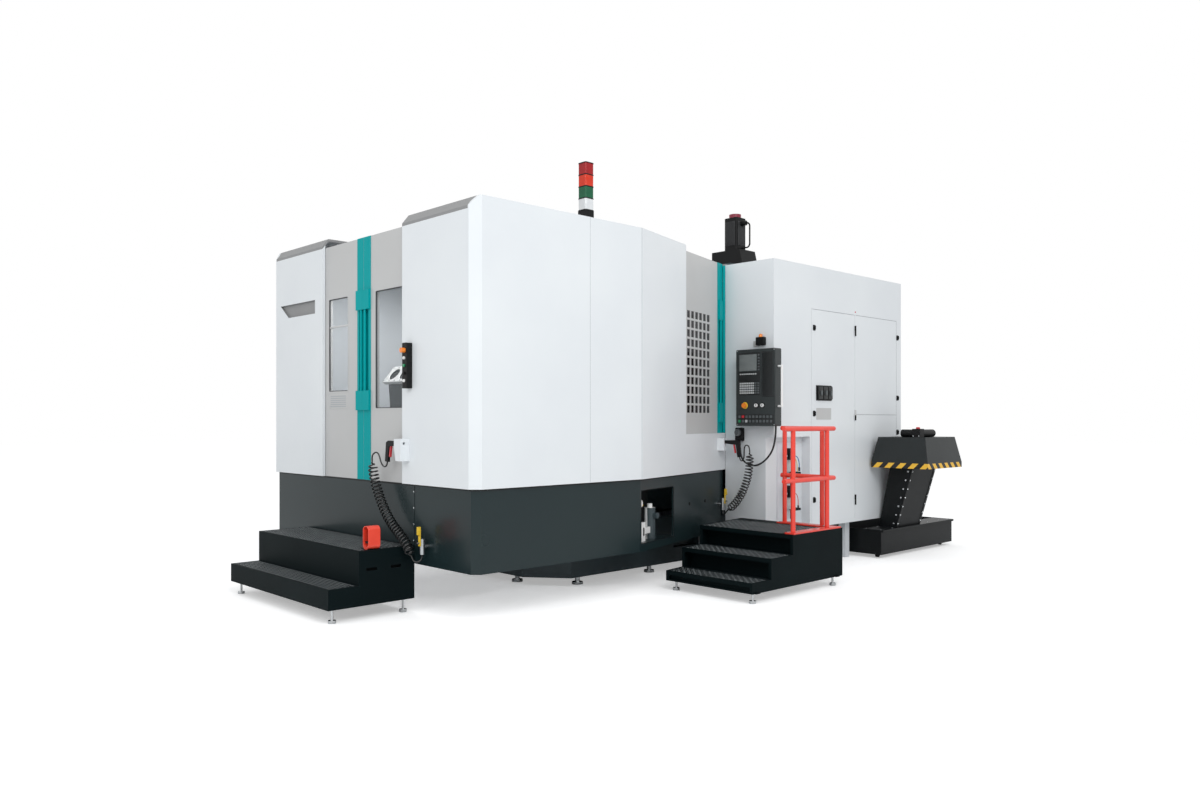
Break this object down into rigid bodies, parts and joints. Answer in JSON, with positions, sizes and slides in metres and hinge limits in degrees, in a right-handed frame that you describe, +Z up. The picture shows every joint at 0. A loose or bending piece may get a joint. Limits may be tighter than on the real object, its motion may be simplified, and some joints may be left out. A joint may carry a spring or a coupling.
{
  "type": "cnc machining center",
  "caption": "Enclosed horizontal machining centre with a swing pallet changer behind sliding doors, operator platform with handrail, control panel and chip conveyor.",
  "frame": {"origin": "floor point under the middle levelling foot of the bed", "axes": "+X to the right as seen from the loading doors, +Y from the loading doors to the back, +Z up"},
  "size_m": [4.679, 8.24, 4.41],
  "materials": {
    "white_paint": "smooth white powder coat",
    "grey_paint": "satin grey powder coat",
    "dark_paint": "glossy dark green-grey enamel",
    "step_paint": "dark green textured enamel",
    "red_paint": "bright red powder coat",
    "conveyor_paint": "satin black enamel",
    "casting": "painted iron casting",
    "machined_iron": "ground machined faces",
    "steel": "machined steel",
    "black_plastic": "matt black moulding",
    "slate_panel": "slate fine-texture paint",
    "orange_button": "glossy orange moulding",
    "yellow_lever": "yellow vinyl-dipped lever",
    "red_plastic": "glossy red moulding",
    "lamp_lens": "coloured translucent lenses",
    "window": "clear laminated pane",
    "hose": "black polyurethane hose",
    "work_metal": "pale cast alloy",
    "white_plastic": "white moulding"
  },
  "bodies": {
    "machine": {"air_guns": "black_plastic", "air_units": "white_plastic", "bed": "casting", "button_box": "black_plastic", "cabinet_body": "white_paint", "control_panel": "slate_panel", "conveyor_drive": "conveyor_paint", "conveyor_hood": "conveyor_paint", "conveyor_riser": "conveyor_paint", "coolant_tank": "conveyor_paint", "cover_front_right": "white_paint", "cover_left": "white_paint", "cover_side_right": "white_paint", "feed_drives": "steel", "foot_switch": "red_paint", "front_hose": "hose", "front_step": "step_paint", "handrail": "red_paint", "hose_valves": "steel", "levelling_feet": "steel", "lube_unit": "white_plastic", "magazine_housing": "white_paint", "platform": "step_paint", "rear_cover": "white_paint", "roof": "grey_paint", "side_hose": "hose", "skirt_front": "dark_paint", "skirt_left": "dark_paint", "skirt_right": "dark_paint", "tower_base": "black_plastic", "tower_lamps": "lamp_lens", "wheel_box": "black_plastic", "wheel_cable": "hose"},
    "left_door": {"front_door_left": "grey_paint", "window_left": "window"},
    "right_door": {"front_door_right": "grey_paint", "window_right": "window"},
    "side_door": {"side_door": "grey_paint", "side_window": "window"},
    "service_door": {"cabinet_door": "white_paint"},
    "column": {"column": "casting", "y_drive": "black_plastic"},
    "head": {"spindle_head": "casting"},
    "spindle": {"spindle": "steel"},
    "table": {"saddle": "casting"},
    "rotary": {"rotary_table": "machined_iron", "machine_pallet": "machined_iron"},
    "changer": {"changer_arm": "casting", "setup_pallet": "machined_iron", "fixture": "casting", "workpiece": "work_metal"},
    "tool_disc": {"tool_magazine": "machined_iron"},
    "dial": {"wheel_dial": "black_plastic"},
    "stop_button": {"panel_stop": "orange_button"},
    "front_lever": {"valve_lever_front": "yellow_lever"},
    "side_lever": {"valve_lever_side": "yellow_lever"},
    "front_trigger": {"gun_trigger_front": "red_plastic"},
    "side_trigger": {"gun_trigger_side": "red_plastic"},
    "pedal": {"foot_pedal": "black_plastic"}
  },
  "joints": [
    {"name": "left_door_slide", "type": "slide", "parent": "machine", "child": "left_door", "axis": [-1, 0, 0], "range_m": [0, 0.62]},
    {"name": "right_door_slide", "type": "slide", "parent": "machine", "child": "right_door", "axis": [1, 0, 0], "range_m": [0, 0.575]},
    {"name": "side_door_slide", "type": "slide", "parent": "machine", "child": "side_door", "axis": [0.2756, -0.9613, 0], "range_m": [0, 0.88]},
    {"name": "service_door_hinge", "type": "hinge", "parent": "machine", "child": "service_door", "pos_m": [1.924, 1.41, 1.64], "axis": [0, 0, 1], "range_deg": [0, 100]},
    {"name": "column_traverse", "type": "slide", "parent": "machine", "child": "column", "axis": [1, 0, 0], "range_m": [-0.62, 0.62]},
    {"name": "head_lift", "type": "slide", "parent": "column", "child": "head", "axis": [0, 0, 1], "range_m": [-0.48, 0.65]},
    {"name": "spindle_spin", "type": "hinge", "parent": "head", "child": "spindle", "pos_m": [0, 0.35, 1.95], "axis": [0, -1, 0], "continuous": true},
    {"name": "table_feed", "type": "slide", "parent": "machine", "child": "table", "axis": [0, 1, 0], "range_m": [-1.15, 0.35]},
    {"name": "table_turn", "type": "hinge", "parent": "table", "child": "rotary", "pos_m": [0, -0.25, 1], "axis": [0, 0, 1], "continuous": true},
    {"name": "changer_swing", "type": "hinge", "parent": "machine", "child": "changer", "pos_m": [0, -2.25, 1.02], "axis": [0, 0, 1], "range_deg": [0, 180]},
    {"name": "tool_disc_turn", "type": "hinge", "parent": "machine", "child": "tool_disc", "pos_m": [-1.835, 1.145, 1.905], "axis": [1, 0, 0], "continuous": true},
    {"name": "hand_dial_turn", "type": "hinge", "parent": "machine", "child": "dial", "pos_m": [1.482, -0.275, 1.508], "axis": [0, -1, 0], "continuous": true},
    {"name": "stop_press", "type": "slide", "parent": "machine", "child": "stop_button", "axis": [0, 1, 0], "range_m": [0, 0.008], "stiffness_N_per_m": 1500},
    {"name": "front_lever_turn", "type": "hinge", "parent": "machine", "child": "front_lever", "pos_m": [1.115, -4.078, 0.6175], "axis": [0, -1, 0], "range_deg": [-90, 0]},
    {"name": "side_lever_turn", "type": "hinge", "parent": "machine", "child": "side_lever", "pos_m": [1.32699, -0.34395, 0.7525], "axis": [0.9613, 0.2756, 0], "range_deg": [0, 90]},
    {"name": "front_trigger_pull", "type": "hinge", "parent": "machine", "child": "front_trigger", "pos_m": [0.665, -4.102, 1.407], "axis": [0, 1, 0], "range_deg": [0, 4], "stiffness_Nm_per_rad": 4},
    {"name": "side_trigger_pull", "type": "hinge", "parent": "machine", "child": "side_trigger", "pos_m": [1.48688, -0.35011, 1.367], "axis": [0.2756, -0.9613, 0], "range_deg": [0, 4], "stiffness_Nm_per_rad": 4},
    {"name": "pedal_press", "type": "hinge", "parent": "machine", "child": "pedal", "pos_m": [0.85, -4.372, 0.628], "axis": [1, 0, 0], "range_deg": [0, 7], "stiffness_Nm_per_rad": 30}
  ]
}
